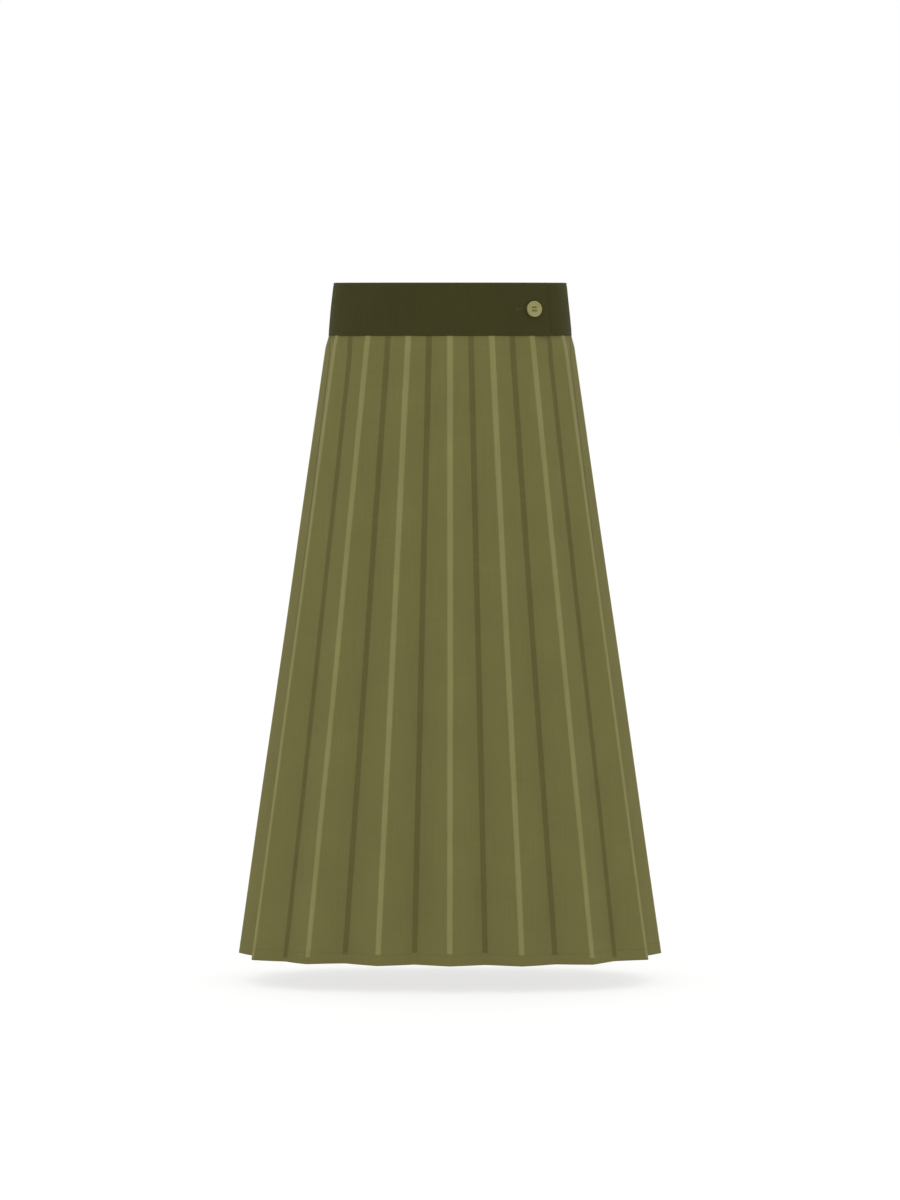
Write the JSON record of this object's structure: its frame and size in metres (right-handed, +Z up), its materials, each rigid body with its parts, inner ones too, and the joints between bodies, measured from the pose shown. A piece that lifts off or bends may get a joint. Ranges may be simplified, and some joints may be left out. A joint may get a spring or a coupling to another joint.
{
  "type": "pleated skirt",
  "caption": "Below-knee sunray-pleated skirt of olive cloth, flaring from a plain darker waistband to a narrow hem, buttoned at the wearer's left front, standing open as when worn.",
  "frame": {"origin": "centre of the waist, half way up the waistband, where the wearer's waist holds the skirt up", "axes": "+Z up, -Y towards the skirt's front, +X towards the wearer's left, the side on which the band buttons"},
  "size_m": [0.4834, 0.2944, 0.765],
  "materials": {
    "pleated_cloth": "matte fine twill, pressed in pleats",
    "band_cloth": "matte firm twill, doubled and topstitched",
    "button": "satin"
  },
  "bodies": {
    "root": {"front_panel": "pleated_cloth", "back_panel": "pleated_cloth", "waistband": "band_cloth", "button": "button"}
  },
  "joints": []
}
